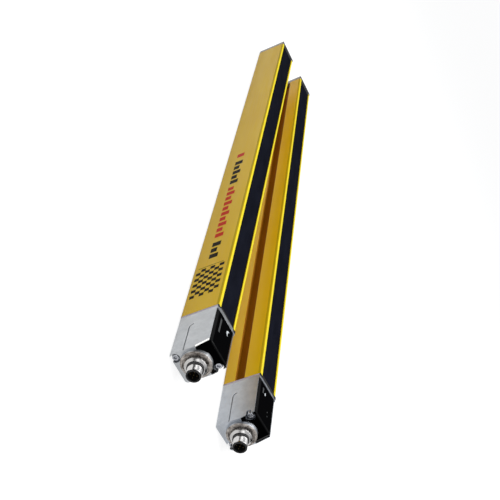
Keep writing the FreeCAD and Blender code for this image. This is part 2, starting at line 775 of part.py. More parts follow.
def bar_pieces(is_receiver):
    """All pieces of one bar in its own frame, with left and right as they lie."""
    handed = (lambda shape: shape) if is_receiver else mirrored
    guide_length = receiver_guide_length if is_receiver else transmitter_guide_length
    side = 1 if is_receiver else -1
    elements = "photodiodes" if is_receiver else "emitter_diodes"
    return {
        "housing_profile": handed(housing_profile()),
        "front_screen": front_screen(),
        "screen_seal": screen_seal(),
        "connection_cap": handed(connection_cap()),
        "cap_gasket": handed(cap_gasket()),
        "front_cover": handed(front_cover(side * guide_shift, guide_length)),
        "cover_seal": handed(cover_seal()),
        "light_guide": light_guide(guide_shift, guide_length),
        "connector_sleeve": connector_sleeve(),
        "connector_insert": connector_insert(),
        "connector_oring": connector_oring(),
        "connector_nut": connector_nut(),
        "contact_pins": contact_pins(),
        "connection_cap_screws": handed(connection_cap_screws()),
        "end_cap": handed(end_cap()),
        "end_cap_gasket": handed(end_cap_gasket()),
        "end_cap_screws": handed(end_cap_screws()),
        "end_cover": end_cover(),
        "optics_carrier": optics_carrier(),
        "lens_strip": lens_strip(),
        "optics_board_1": optics_board(1),
        "optics_board_2": optics_board(2),
        elements: beam_elements(),
        "control_board": handed(control_board(side * guide_shift, guide_length)),
        "contact_board": contact_board(),
        "status_display": status_display(display_shift),
        "board_link": board_link(),
        "earth_spring": earth_spring(),
    }


def bar_placements():
    """Where the two bars lie, with the origin in the middle of the space they take up."""
    corner = Vector(-half, 0, 0)
    receiver = Placement(Vector(0, 0, 0), Rotation())
    turn = Rotation(Vector(0, 0, 1), pair_yaw)
    transmitter = Placement(corner + Vector(pair_pitch, pair_stagger, 0) - turn.multVec(corner),
                            turn)
    xs, ys = [], []
    for placement in (receiver, transmitter):
        for x in (-half, half):
            for y in (0, bar_length):
                point = placement.multVec(Vector(x, y, 0))
                xs.append(point.x)
                ys.append(point.y)
        for x in (-sleeve_radius + sleeve_bevel, sleeve_radius - sleeve_bevel):
            ys.append(placement.multVec(Vector(x, -sleeve_reach, 0)).y)
    shift = Vector(-(min(xs) + max(xs)) / 2, -(min(ys) + max(ys)) / 2, 0)
    receiver.move(shift)
    transmitter.move(shift)
    return {"receiver": receiver, "transmitter": transmitter}


def build():
    os.makedirs("parts", exist_ok=True)
    for name, placement in bar_placements().items():
        for piece, shape in bar_pieces(name == "receiver").items():
            placed = shape.copy()
            placed.Placement = placement.multiply(placed.Placement)
            placed.exportStep("parts/%s_%s.step" % (name, piece))


build()
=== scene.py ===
# %% [markdown]
# # A safety light curtain
#
# A light curtain is two slim bars that face each other across the opening of a machine. The
# transmitter sends a row of infrared beams, the receiver watches them, and the machine stops
# when a hand breaks one. Here both bars lie on their backs, windows up, as they do on a bench.
#
# The construction comes from a CAD model that stays exactly as it is. This lesson gives it
# its looks: satin coatings, cast metal, gloss plastic, a real thread, rounded edges and light.

import bmesh
import bpy
import json
import math
from mathutils import Matrix, Vector


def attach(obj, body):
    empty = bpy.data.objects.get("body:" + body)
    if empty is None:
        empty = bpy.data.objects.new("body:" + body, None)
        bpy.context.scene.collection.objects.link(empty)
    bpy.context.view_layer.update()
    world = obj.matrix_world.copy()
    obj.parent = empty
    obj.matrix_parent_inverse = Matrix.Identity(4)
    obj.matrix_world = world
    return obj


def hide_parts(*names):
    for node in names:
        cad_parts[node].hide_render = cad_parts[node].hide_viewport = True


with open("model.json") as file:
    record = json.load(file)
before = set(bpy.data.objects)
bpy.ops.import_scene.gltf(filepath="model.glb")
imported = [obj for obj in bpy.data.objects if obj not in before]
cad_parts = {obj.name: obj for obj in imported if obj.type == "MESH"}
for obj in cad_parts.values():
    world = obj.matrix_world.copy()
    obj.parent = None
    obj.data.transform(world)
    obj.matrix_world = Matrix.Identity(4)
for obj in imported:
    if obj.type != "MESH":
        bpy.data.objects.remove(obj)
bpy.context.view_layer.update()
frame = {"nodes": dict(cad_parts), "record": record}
nodes = frame["nodes"]
MM = 0.001

# %% [markdown]
# ## Where each bar lies
#
# Every size below is in millimetres in a bar's own frame: x across the bar, y from its
# connector end to its far end and z up out of its window. One matrix for each bar takes that
# frame to the scene. It is read from the CAD record: the connector's mount gives the direction
# of the bar, and the hub's end gives its start. So if the bars are laid out anew, all follows.

# %% Bar frames
SLEEVE_REACH = 17.0         # the connector sleeve stands this far out of the casting
SLEEVE_BEVEL = 0.5
BARS = {"receiver": 1, "transmitter": -1}       # the side that the T-slot is on
mounts = {mount["name"]: mount for mount in frame["record"]["mounts"]}


def bar_frame(bar):
    """Matrix from a bar's own millimetres to the scene."""
    mount = mounts[bar + "_connector"]
    outwards = Vector(mount["axis"])
    middle = Vector(mount["pos_m"])
    length = mount["dims"]["length_mm"]
    start = middle - outwards * (SLEEVE_REACH - SLEEVE_BEVEL - length / 2) * MM
    turn = math.atan2(outwards.x, -outwards.y)
    place = Matrix.Translation(Vector((start.x, start.y, 0)))
    return place @ Matrix.Rotation(turn, 4, "Z") @ Matrix.Scale(MM, 4)


bar_frames = {bar: bar_frame(bar) for bar in BARS}
CONNECTOR_Z = mounts["receiver_connector"]["pos_m"][2] / MM


def local_box(bar, part):
    """Lowest and highest corners of a CAD node in its bar's own millimetres."""
    home = bar_frames[bar].inverted()
    corners = [home @ vertex.co for vertex in nodes[bar + "_" + part].data.vertices]
    low = Vector([min(corner[axis] for corner in corners) for axis in range(3)])
    high = Vector([max(corner[axis] for corner in corners) for axis in range(3)])
    return low, high


housing_low, housing_high = local_box("receiver", "housing_profile")
HALF = housing_high.x                   # half the width of a bar
DEPTH = housing_high.z                  # back to lips
for bar in BARS:
    print(bar, "starts at", [round(v, 4) for v in bar_frames[bar].translation])
print("housing from", round(housing_low.y, 1), "to", round(housing_high.y, 1), "mm")


# %% [markdown]
# ## Tools for finishes
#
# A finish is a Principled shader whose colour, roughness and bump are stirred by noise at
# the scale of the real surface. A few short helpers add one such layer each, so that every
# finish below reads as a list of what a painter or a caster would name: grain, mottling,
# roughness, relief. All of them use object coordinates, which are metres in the scene.

# %% Finish helpers
def start_finish(name, colour, roughness, metallic=0.0, ior=1.45):
    material = bpy.data.materials.new(name)
    material.use_nodes = True
    shader = material.node_tree.nodes["Principled BSDF"]
    shader.inputs["Base Color"].default_value = (*colour, 1)
    shader.inputs["Roughness"].default_value = roughness
    shader.inputs["Metallic"].default_value = metallic
    shader.inputs["IOR"].default_value = ior
    return material


def add_node(material, kind, **settings):
    node = material.node_tree.nodes.new(kind)
    for key, value in settings.items():
        setattr(node, key, value)
    return node


def join(material, source, target):
    material.node_tree.links.new(source, target)


def grain(material, size_mm, stretch=(1, 1, 1), detail=3.0):
    """Noise with features of about size_mm, drawn out along an axis where stretch is over 1."""
    place = add_node(material, "ShaderNodeTexCoord")
    mapping = add_node(material, "ShaderNodeMapping")
    mapping.inputs["Scale"].default_value = [1 / s for s in stretch]
    noise = add_node(material, "ShaderNodeTexNoise")
    noise.inputs["Scale"].default_value = 1 / (size_mm * MM)
    noise.inputs["Detail"].default_value = detail
    join(material, place.outputs["Object"], mapping.inputs["Vector"])
    join(material, mapping.outputs["Vector"], noise.inputs["Vector"])
    return noise.outputs["Fac"]


def shader_of(material):
    return material.node_tree.nodes["Principled BSDF"]


def vary_colour(material, factor, low, high, spread=0.2):
    """Colour runs from low to high as the noise crosses its middle."""
    ramp = add_node(material, "ShaderNodeValToRGB")
    ramp.color_ramp.elements[0].position = 0.5 - spread
    ramp.color_ramp.elements[1].position = 0.5 + spread
    ramp.color_ramp.elements[0].color = (*low, 1)
    ramp.color_ramp.elements[1].color = (*high, 1)
    join(material, factor, ramp.inputs["Fac"])
    join(material, ramp.outputs["Color"], shader_of(material).inputs["Base Color"])
    return ramp


def vary_roughness(material, factor, low, high):
    span = add_node(material, "ShaderNodeMapRange")
    span.inputs["From Min"].default_value = 0.3
    span.inputs["From Max"].default_value = 0.7
    span.inputs["To Min"].default_value = low
    span.inputs["To Max"].default_value = high
    join(material, factor, span.inputs["Value"])
    join(material, span.outputs["Result"], shader_of(material).inputs["Roughness"])


def relief(material, factor, height_mm, strength=1.0):
    """Fine bumps; a second call stacks on the first."""
    bump = add_node(material, "ShaderNodeBump")
    bump.inputs["Distance"].default_value = height_mm * MM
    bump.inputs["Strength"].default_value = strength
    join(material, factor, bump.inputs["Height"])
    normal = shader_of(material).inputs["Normal"]
    if normal.is_linked:
        join(material, normal.links[0].from_socket, bump.inputs["Normal"])
    join(material, bump.outputs["Normal"], normal)


def lighter(colour, factor):
    return tuple(min(1.0, value * factor) for value in colour)


def paint_light_on_upward_faces(material, colour):
    """Painted light: a lighter colour on the faces that look up, where the lamp above falls,
    blended in over the rounding of an edge.
    """
    surface = add_node(material, "ShaderNodeNewGeometry")
    split = add_node(material, "ShaderNodeSeparateXYZ")
    ease = add_node(material, "ShaderNodeMapRange")
    ease.inputs["From Min"].default_value = 0.75
    ease.inputs["From Max"].default_value = 0.97
    blend = add_node(material, "ShaderNodeMix", data_type="RGBA")
    base = shader_of(material).inputs["Base Color"]
    join(material, surface.outputs["Normal"], split.inputs[0])
    join(material, split.outputs["Z"], ease.inputs["Value"])
    join(material, ease.outputs["Result"], blend.inputs["Factor"])
    join(material, base.links[0].from_socket, blend.inputs["A"])
    blend.inputs["B"].default_value = (*colour, 1)
    join(material, blend.outputs["Result"], base)


print("finish helpers ready")

# %% [markdown]
# ## The finishes of the housing
#
# The housing is an aluminium extrusion with a satin yellow coating. Real coatings show faint
# lines drawn out along the bar from the die, a fine orange-peel relief, and a slow change of
# gloss. One stretched noise makes the lines, one even noise the peel. The narrow lips that look
# up get a lighter lemon tint, which is painted light where the lamp above falls on them. On the
# slopes just below them the yellow is darker and duller, and the T-slot's faces take a dark
# brownish yellow, which is painted shade of the slot.

# %% Yellow coat
YELLOW = (1.0, 0.615, 0.006)
# painted light: the lighter lemon yellow of the lips that face the lamp above
LIT_LIP_YELLOW = (0.88, 0.72, 0.02)
# a darker, duller yellow for the slopes beside the lips
DARKER_SLOPE_YELLOW = (0.62, 0.43, 0.002)
# painted shade: the dark brown of the T-slot stands for the shade inside it
SLOT_SHADE_BROWN = (0.46, 0.18, 0.005)


def make_yellow_coat(name, colour, roughness):
    material = start_finish(name, colour, roughness, ior=1.32)
    lines = grain(material, 0.9, stretch=(1, 60, 1))
    clouds = grain(material, 26, stretch=(1, 3, 1))
    vary_colour(material, clouds, lighter(colour, 0.94), lighter(colour, 1.05))
    vary_roughness(material, lines, roughness - 0.05, roughness + 0.08)
    relief(material, lines, 0.02, 0.5)
    relief(material, grain(material, 0.5), 0.012, 0.6)
    return material


finish = {"yellow_coat": make_yellow_coat("yellow_coat", YELLOW, 0.4)}
# painted light: the faces that look up take the lighter lemon yellow
paint_light_on_upward_faces(finish["yellow_coat"], LIT_LIP_YELLOW)
# painted shade in the T-slot
slot_shade_coat = make_yellow_coat("painted_shade_in_slot", SLOT_SHADE_BROWN, 0.55)
# the slopes take the darker yellow
darker_slope_coat = make_yellow_coat("darker_yellow_on_slope", DARKER_SLOPE_YELLOW, 0.5)
# in this print, the slot's thin film is painted shade and the slopes' deep coat is a darker
# yellow
print("yellow coat, deep coat of the slopes and thin film of the slot")

# %% [markdown]
# ## Dark plastics and rubbers
#
# The window is smoked plastic: nearly black, with a trace of blue, darker where the printed
# border hides the rails below; that darker rim also carries painted shade of the rails. The
# cover of the cap is piano black, and its bevels are a little less glossy than its top. Both are
# mirrors for a studio lamp, so their own colour must be almost nothing, and their relief long
# and low.

# %% Window, cover, seals and black plastics
def make_dark_screen(name, colour):
    material = start_finish(name, colour, 0.15, ior=1.3)
    depth = grain(material, 9, stretch=(1, 4, 1))
    vary_colour(material, depth, lighter(colour, 0.8), lighter(colour, 1.25))
    relief(material, grain(material, 40), 0.05, 0.15)
    vary_roughness(material, grain(material, 3), 0.12, 0.18)
    return material


def make_black_cover(name, ior):
    material = start_finish(name, (0.0012, 0.0012, 0.0014), 0.05, ior=ior)
    relief(material, grain(material, 12), 0.01, 0.15)
    vary_roughness(material, grain(material, 2), 0.035, 0.07)
    return material


def make_black_plastic(name, colour, roughness, ior=1.45):
    material = start_finish(name, colour, roughness, ior=ior)
    relief(material, grain(material, 0.4), 0.02, 0.6)
    vary_roughness(material, grain(material, 5), roughness - 0.06, roughness + 0.06)
    return material


def make_rubber(name, colour):
    material = start_finish(name, colour, 0.75)
    vary_colour(material, grain(material, 1.5), lighter(colour, 0.85), lighter(colour, 1.15))
    relief(material, grain(material, 0.25), 0.03, 0.7)
    return material


finish["dark_screen"] = make_dark_screen("dark_screen", (0.007, 0.008, 0.014))
screen_print_and_shade = make_dark_screen("screen_print_and_shade", (0.003, 0.003, 0.005))
finish["black_cover"] = make_black_cover("black_cover", 1.38)
cover_bevel = make_black_cover("cover_bevel", 1.18)
finish["black_plastic"] = make_black_plastic("black_plastic", (0.018, 0.018, 0.02), 0.5)
finish["black_insert"] = make_black_plastic("black_insert", (0.002, 0.002, 0.0025), 0.6)
finish["seal"] = make_rubber("seal", (0.003, 0.003, 0.003))
finish["oring_rubber"] = make_rubber("oring_rubber", (0.055, 0.053, 0.055))
finish["grey_gasket"] = make_rubber("grey_gasket", (0.66, 0.60, 0.70))
print("dark finishes:", sorted(finish))

# %% [markdown]
# ## Metals
#
# Several metals meet at the connector end: the blasted zinc casting with the darker foot round
# its turned hub, the nickel-plated sleeve, plated steel screws and gold-plated contacts. They
# differ in how they scatter light: a casting has pits and clouds, the foot is blotched darker
# and duller as painted shade of that recess, and a turned or plated part is smooth with a trace
# of fine lines.

# %% Cast, turned and plated metals
def make_casting(name, colour, roughness):
    material = start_finish(name, colour, roughness, metallic=1.0)
    clouds = grain(material, 7)
    vary_colour(material, clouds, lighter(colour, 0.9), lighter(colour, 1.08), 0.25)
    vary_roughness(material, grain(material, 2.5), roughness - 0.06, roughness + 0.08)
    relief(material, grain(material, 0.35), 0.035, 0.7)
    relief(material, grain(material, 3), 0.05, 0.25)
    return material


def make_shaded_foot_casting():
    """The annulus round the hub, blotched darker and duller: painted shade of that recess."""
    material = start_finish("shaded_foot_casting", CASTING, 0.5, metallic=0.75)
    vary_colour(material, grain(material, 2.9, detail=3), (0.10, 0.080, 0.068),
                (0.58, 0.54, 0.50), 0.2)
    vary_roughness(material, grain(material, 1.0), 0.4, 0.65)
    relief(material, grain(material, 0.35), 0.05, 0.8)
    return material


def make_plated(name, colour, roughness):
    material = start_finish(name, colour, roughness, metallic=1.0)
    vary_roughness(material, grain(material, 1.2), roughness * 0.7, roughness * 1.5)
    relief(material, grain(material, 0.3, stretch=(1, 0.3, 1)), 0.006, 0.6)
    return material


CASTING = (0.45, 0.465, 0.48)
finish["zinc_casting"] = make_casting("zinc_casting", CASTING, 0.4)
other_melt = make_casting("zinc_casting_second_melt", (0.43, 0.455, 0.49), 0.4)
# painted highlight: a near-white metal for the bright edge on the receiver
highlight_edge_metal = make_plated("painted_highlight_edge", (0.95, 0.94, 0.92), 0.14)
finish["end_casting"] = make_casting("end_casting", (0.30, 0.29, 0.28), 0.45)
finish["nickel_sleeve"] = make_plated("nickel_sleeve", (0.60, 0.59, 0.58), 0.18)
finish["steel_nut"] = make_plated("steel_nut", (0.6, 0.6, 0.61), 0.25)
finish["steel_screw"] = make_plated("steel_screw", (0.42, 0.43, 0.46), 0.24)
finish["spring_steel"] = make_plated("spring_steel", (0.63, 0.63, 0.63), 0.2)
# painted shade: the contacts' gold is darkened nearly to black, for the shade deep in the socket
finish["gold_contact"] = make_plated("gold_contact", (0.075, 0.055, 0.025), 0.45)
shaded_foot_casting = make_shaded_foot_casting()
turned_hub = make_plated("turned_hub", (0.50, 0.49, 0.48), 0.24)
print("metals ready")


# %% [markdown]
# ## Finishes of the inside
#
# The lid and the screen hide the boards, the lenses and the diodes, but they are parts of the
# model and someone may take it apart. Green laminate, amber film and clear plastic are enough.

# %% Inner finishes
def make_laminate():
    material = start_finish("circuit_board", (0.012, 0.11, 0.045), 0.35)
    vary_colour(material, grain(material, 1.2, detail=0), (0.008, 0.085, 0.035),
                (0.02, 0.14, 0.06), 0.03)
    return material


def make_clear(name, colour, roughness, transmission):
    material = start_finish(name, colour, roughness, ior=1.49)
    shader_of(material).inputs["Transmission Weight"].default_value = transmission
    relief(material, grain(material, 1.0), 0.01, 0.3)
    return material


finish["circuit_board"] = make_laminate()
finish["clear_lens"] = make_clear("clear_lens", (0.85, 0.87, 0.9), 0.06, 0.8)
finish["frosted_guide"] = make_clear("frosted_guide", (0.055, 0.058, 0.06), 0.5, 0.2)
finish["diode"] = make_black_plastic("diode", (0.02, 0.016, 0.03), 0.2)
finish["display_block"] = make_black_plastic("display_block", (0.06, 0.06, 0.06), 0.4)
finish["flex_lead"] = make_black_plastic("flex_lead", (0.42, 0.17, 0.02), 0.35)
slot_of = {part["node"]: part["material_slot"] for part in frame["record"]["subparts"]}
for name, node in nodes.items():
    node.data.materials.clear()
    node.data.materials.append(finish[slot_of[name]])
print("every CAD node has its finish")

# %% [markdown]
# ## Rounded edges
#
# CAD edges are perfectly sharp, and a sharp edge never catches light. Cast, moulded and
# extruded edges are rounded by a few tenths of a millimetre, which is where their highlights
# come from. Each piece here is a copy of its CAD node. Its flat triangles are merged into whole
# faces first, then a narrow bevel runs round every edge that turns by more than a given angle.
# On an outer edge a bevel only takes material away, so the piece stays inside the space that
# the CAD gives it.

# %% Helper: a copy of a CAD node, and a bevel for it
EDGE_ANGLE = 30


def copied_mesh(bar, part):
    """The node's mesh in the bar's millimetres, with its flat triangles merged."""
    work = bmesh.new()
    work.from_mesh(nodes[bar + "_" + part].data)
    work.transform(bar_frames[bar].inverted())
    bmesh.ops.remove_doubles(work, verts=work.verts, dist=0.002)
    bmesh.ops.dissolve_limit(work, angle_limit=math.radians(0.5), verts=work.verts,
                             edges=work.edges, delimit={"NORMAL"})
    return work


def make_piece(bar, name, work, materials, node=None):
    """Turns a mesh in a bar's millimetres into a piece of the object."""
    work.transform(bar_frames[bar])
    mesh = bpy.data.meshes.new(bar + "_" + name)
    work.to_mesh(mesh)
    work.free()
    for material in materials:
        mesh.materials.append(material)
    piece = bpy.data.objects.new(bar + "_" + name, mesh)
    bpy.context.scene.collection.objects.link(piece)
    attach(piece, "root")
    if node:
        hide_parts(bar + "_" + node)
    return piece


def shade(piece, angle=EDGE_ANGLE):
    piece.data.shade_smooth()
    piece.data.set_sharp_from_angle(angle=math.radians(angle))


def round_edges(piece, edge_mm, angle=EDGE_ANGLE, segments=2):
    shade(piece, angle)
    bevel = piece.modifiers.new("edges", "BEVEL")
    bevel.width = edge_mm * MM
    bevel.segments = segments
    bevel.limit_method = "ANGLE"
    bevel.angle_limit = math.radians(angle)
    bevel.harden_normals = True
    bevel.use_clamp_overlap = True


def rounded_copy(bar, part, edge_mm, angle=EDGE_ANGLE):
    slot = finish[slot_of[bar + "_" + part]]
    piece = make_piece(bar, part + "_finished", copied_mesh(bar, part), [slot], node=part)
    round_edges(piece, edge_mm, angle)
    return piece


for bar in BARS:
    rounded_copy(bar, "end_cap", 0.15)
    rounded_copy(bar, "end_cover", 0.2)
    rounded_copy(bar, "light_guide", 0.12)
print("far ends and light guides rounded")

# %% [markdown]
# ## The housing
#
# Two things are missing from the plain extrusion. A shallow slope runs along both sides next
# to the lips: it leans in by little more than half a millimetre and takes a darker, duller
# yellow, so it reads as a darker yellow band. And the slot's inner faces take painted shade, a
# dark brownish yellow. The slope is made by one straight cut along the side, after which
# everything above it is drawn in.

# %% Housing
SLOPE_FOOT = 33.2           # height at which the side begins to lean in
SLOPE_LEAN = 0.6
INK_DEPTH = 0.03            # what lies on a face is sunk by this much, so nothing stands proud
SLOT_LOW, SLOT_HIGH = 9.9, 22.5
SLOT_BOTTOM = 8.2           # from the middle of the bar


def draw_in_slopes(work):
    everything = work.verts[:] + work.edges[:] + work.faces[:]
    bmesh.ops.bisect_plane(work, geom=everything, plane_co=(0, 0, SLOPE_FOOT),
                           plane_no=(0, 0, 1))
    for vertex in work.verts:
        rise = (vertex.co.z - SLOPE_FOOT) / (DEPTH - SLOPE_FOOT)
        if rise > 0 and abs(vertex.co.x) > HALF - 1:
            vertex.co.x -= math.copysign(rise * SLOPE_LEAN, vertex.co.x)


def inside_slot(centre, side):
    return (SLOT_BOTTOM < centre.x * side < HALF - 0.01
            and SLOT_LOW < centre.z < SLOT_HIGH)


def press_in(work, axis, place, depth):
    """Draws the vertices that lie on an outer face in by a few hundredths."""
    for vertex in work.verts:
        if abs(vertex.co[axis] - place) < 0.01:
            vertex.co[axis] -= math.copysign(depth, place)


for bar, side in BARS.items():
    work = copied_mesh(bar, "housing_profile")
    draw_in_slopes(work)
    press_in(work, 0, -HALF * side, INK_DEPTH)
    for face in work.faces:
        centre = face.calc_center_median()
        on_slope = centre.z > SLOPE_FOOT and abs(face.normal.x) > 0.7 and abs(centre.x) > HALF - 1
        # material index 1 is painted shade in the slot, and 2 is the darker yellow of the slopes
        face.material_index = int(inside_slot(centre, side)) + 2 * int(on_slope)
    dark = sum(face.material_index == 1 for face in work.faces)
    housing = make_piece(bar, "housing_finished", work,
                         [finish["yellow_coat"], slot_shade_coat, darker_slope_coat], node="housing_profile")
    round_edges(housing, 0.25)
    # the thin film named in this print is painted shade
    print(bar, "housing:", dark, "faces in the slot take the thin film")

# %% [markdown]
# ## The gasket and the window
# The grey gasket is pressed out by the screws until it lies almost flush, and where it ends
# between the lips its top faces are black: painted shade of the gap at that corner. The
# window's screen is printed black along its edges, which hides the rails that it rests on: its
# top face is inset once, and the rim takes the darker finish, which also carries painted shade of
# the rails.

# %% Gasket and window
GASKET_SPREAD = 1.012
# painted shade: above this height the gasket's ends are black, for the gap in shade there
SHADED_CORNER_HEIGHT = 34.6        # above this the gasket's ends are black
BORDER = 2.2                # printed border of the window


def face_up(work):
    """The widest face that looks up."""
    tops = [face for face in work.faces if face.normal.z > 0.99]
    return max(tops, key=lambda face: face.calc_area())


for bar in BARS:
    work = copied_mesh(bar, "cap_gasket")
    for vertex in work.verts:
        vertex.co.x *= GASKET_SPREAD
        if vertex.co.z > SHADED_CORNER_HEIGHT:
            vertex.co.z += 0.15
    for face in work.faces:
        # faces above this height take black, as painted shade
        face.material_index = int(face.calc_center_median().z > SHADED_CORNER_HEIGHT)
    gasket = make_piece(bar, "gasket_finished", work, [finish["grey_gasket"], finish["seal"]],
                        node="cap_gasket")
    round_edges(gasket, 0.08)

    work = copied_mesh(bar, "front_screen")
    work.normal_update()
    window = face_up(work)
    rim = bmesh.ops.inset_region(work, faces=[window], thickness=BORDER)["faces"]
    for face in rim:
        face.material_index = 1
    # the rim is the printed border, and it is darker also as painted shade of the rails below
    screen = make_piece(bar, "screen_finished", work, [finish["dark_screen"], screen_print_and_shade],
                        node="front_screen")
    round_edges(screen, 0.15)
print("gaskets and screens")

# %% [markdown]
# ## The casting
#
# The casting is one piece of metal, but not one look. The hub is turned bright after casting,
# the foot round it is blotched darker as painted shade of that recess, and the second bar's
# casting comes from another melt and is a shade bluer. Hub and foot are told apart by how far
# their faces lie from the connector's axis.

# %% Connection caps
HUB_RADIUS = 8.9
RIM_RADIUS = 12.5
SKIRT_FOOT = DEPTH - 13.0   # where the end face starts to lean back
END_LEAN = 3.6
LIP_TOP = DEPTH - 1.2       # top of the casting's thin lip beside the cover


def casting_zone(face):
    """0 for plain casting, 1 for the foot with painted shade, 2 for the turned hub."""
    if face.calc_center_median().y > -0.5:
        return 0
    reach = max(math.hypot(v.co.x, v.co.z - CONNECTOR_Z) for v in face.verts)
    if reach < HUB_RADIUS + 0.1:
        return 2
    return 1 if reach < RIM_RADIUS + 0.1 and face.normal.y < -0.5 else 0


for bar in BARS:
    work = copied_mesh(bar, "connection_cap")
    press_in(work, 2, DEPTH, INK_DEPTH)
    press_in(work, 0, -HALF, INK_DEPTH)
    work.normal_update()
    for face in work.faces:
        face.material_index = casting_zone(face)
    metal = finish["zinc_casting"] if bar == "receiver" else other_melt
    zones = [face.material_index for face in work.faces]
    # the stained faces counted here carry painted shade of the recess round the hub
    print(bar, "casting:", zones.count(1), "stained faces,", zones.count(2), "turned ones")
    casting = make_piece(bar, "casting_finished", work, [metal, shaded_foot_casting, turned_hub],
                         node="connection_cap")
    round_edges(casting, 0.22)

# %% [markdown]
# On the receiver a painted highlight runs along the sloping edge beside the black cover: a
# slim prism along the edge in a metal much brighter than the casting. One facet lies in the
# casting's side, the next leans over towards the cover, and both mirror the pale floor.

# %% Bright edge
def edge_prism(section, low, high):
    """A prism between two heights; the section is (x, distance behind the leaning end)."""
    work = bmesh.new()
    rings = []
    for z in (low, high):
        lean = END_LEAN * (z - SKIRT_FOOT) / (DEPTH - SKIRT_FOOT)
        rings.append([work.verts.new((x, lean + behind, z)) for x, behind in section])
    lower, upper = rings
    for k in range(len(section)):
        after = (k + 1) % len(section)
        work.faces.new((lower[k], lower[after], upper[after], upper[k]))
    work.faces.new(lower[::-1])
    work.faces.new(upper)
    bmesh.ops.recalc_face_normals(work, faces=work.faces)
    return work


SIDE_SKIN = -HALF + 0.006   # just outside the casting's side, which was pressed in
EDGE_START = SKIRT_FOOT + 0.3
SECTION = [(SIDE_SKIN, 1.0), (SIDE_SKIN, -0.05), (-HALF + 0.42, -0.76), (-HALF + 0.7, 0.5)]
make_piece("receiver", "bright_edge", edge_prism(SECTION, EDGE_START, LIP_TOP),
           [highlight_edge_metal])
print("bright edge", round(LIP_TOP - EDGE_START, 1), "mm high")

# %% [markdown]
# ## The black cover and its marks
#
# The cover's bevel meets its top at a blunt angle, so this piece needs a lower bevel angle than
# the others: the rounded crest is what draws the thin grey line down the gloss. Small marks lie
# beside the light guide, a crescent and a short stroke on the receiver, a spot and two dots on
# the transmitter. The white crescent and spot are painted highlights on the gloss; the short
# stroke and the dots are grey. They are thin plates set into the gloss, which is drawn in a
# little so that they lie on it.

# %% Covers and marks
MARK_TOP = DEPTH - 0.005
MARK_DEPTH = 0.3


def plate(outline, top, depth):
    """A flat plate with this outline in x and y."""
    work = bmesh.new()
    upper = [work.verts.new((x, y, top)) for x, y in outline]
    lower = [work.verts.new((x, y, top - depth)) for x, y in outline]
    work.faces.new(upper)
    work.faces.new(lower[::-1])
    for index in range(len(outline)):
        after = (index + 1) % len(outline)
        work.faces.new((upper[index], lower[index], lower[after], upper[after]))
    bmesh.ops.recalc_face_normals(work, faces=work.faces)
    return work


def crescent(x, y, radius, width, start, end, steps=14):
    """Outline of an arc that is widest in its middle; angles in degrees."""
    turns = [math.radians(start + (end - start) * k / steps) for k in range(steps + 1)]
    swell = [width / 2 * math.sin(math.pi * (k + 0.6) / (steps + 1.2)) for k in range(steps + 1)]
    outer = [(x + (radius + w) * math.cos(a), y + (radius + w) * math.sin(a))
             for a, w in zip(turns, swell)]
    inner = [(x + (radius - w) * math.cos(a), y + (radius - w) * math.sin(a))
             for a, w in zip(turns, swell)]
    return outer + inner[::-1]


def oval(x, y, across, along, steps=18):
    turns = [2 * math.pi * k / steps for k in range(steps)]
    return [(x + across / 2 * math.cos(a), y + along / 2 * math.sin(a)) for a in turns]


white_highlight_mark = make_black_plastic("white_highlight_mark", (0.62, 0.66, 0.68), 0.4)
grey_mark = make_black_plastic("grey_mark", (0.05, 0.052, 0.055), 0.45)
for bar in BARS:
    work = copied_mesh(bar, "front_cover")
    press_in(work, 2, DEPTH, INK_DEPTH)
    work.normal_update()
    for face in work.faces:
        face.material_index = int(face.normal.z < 0.97)
    cover = make_piece(bar, "cover_finished", work, [finish["black_cover"], cover_bevel],
                       node="front_cover")
    round_edges(cover, 0.3, angle=15)
# painted highlight: the white crescent and spot stand where light shows on the gloss
MARKS = [("receiver", "crescent", crescent(7.2, 34.4, 3.2, 2.0, 95, 245), white_highlight_mark),
         ("receiver", "short_mark", oval(4.2, 31.4, 0.9, 2.0), grey_mark),
         ("transmitter", "spot", oval(-3.0, 34.5, 1.7, 3.4), white_highlight_mark),
         ("transmitter", "upper_dot", oval(3.6, 20.0, 1.0, 1.4), grey_mark),
         ("transmitter", "lower_dot", oval(3.9, 15.5, 1.0, 1.4), grey_mark)]
for bar, name, outline, ink in MARKS:
    make_piece(bar, name, plate(outline, MARK_TOP, MARK_DEPTH), [ink])
print(len(MARKS), "marks on the covers")

# %% [markdown]
# Black plates stand in three more places at the foot of the window as painted shade: a small
# pad fills each of the two corners where the casting meets the lips, where a gap lies in shade,
# and a strip covers the end of the tongue, which lies in shade. The strip is wider on the
# transmitter, whose tongue is darker. They are flat plates again, laid out in x and y.

# %% Pads and strips of painted shade at the window's foot
PAD_WIDTH, PAD_LENGTH, PAD_INSET = 2.8, 3.2, 0.1
PAD_OVERLAP = 0.2           # how far a pad reaches over the housing
SHADE_STRIP_WIDTHS = {"receiver": 1.4, "transmitter": 3.8}
STRIP_REACH = HALF - 3.3    # half the length of a strip: it ends at the lips
pad_start = housing_low.y - PAD_LENGTH + PAD_OVERLAP
strip_end = local_box("receiver", "front_screen")[0].y + 0.05


def rectangle(x0, x1, y0, y1):
    return [(x0, y0), (x1, y0), (x1, y1), (x0, y1)]


